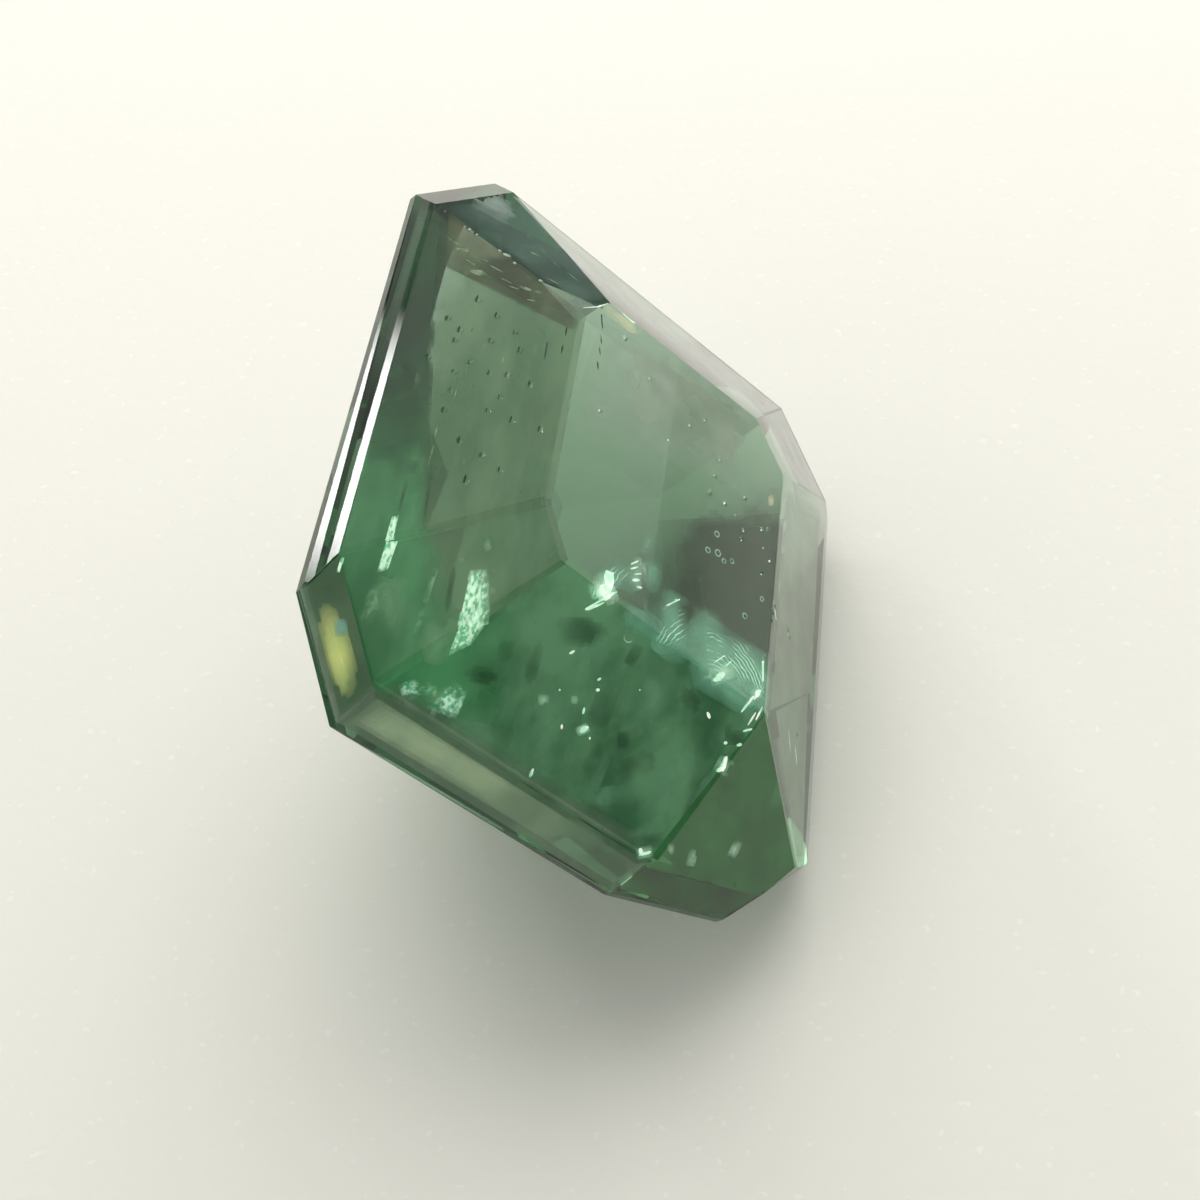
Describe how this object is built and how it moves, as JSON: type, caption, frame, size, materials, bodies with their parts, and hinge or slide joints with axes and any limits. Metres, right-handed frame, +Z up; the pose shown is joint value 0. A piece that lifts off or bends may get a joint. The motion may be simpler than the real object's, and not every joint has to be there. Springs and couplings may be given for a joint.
{
  "type": "step-cut apatite gemstone",
  "caption": "Loose green apatite, step cut with clipped corners and a tilted table, lying on one facet of its pavilion.",
  "frame": {"origin": "middle of the stone's box, on the surface it lies on", "axes": "+Z up as the stone lies; +Y along the stone's longer side; the table faces up and towards +X"},
  "size_m": [0.0078, 0.0108, 0.0083],
  "materials": {
    "apatite": "polished, clear green, with veils and needles inside"
  },
  "bodies": {
    "root": {"gemstone": "apatite"}
  },
  "joints": []
}
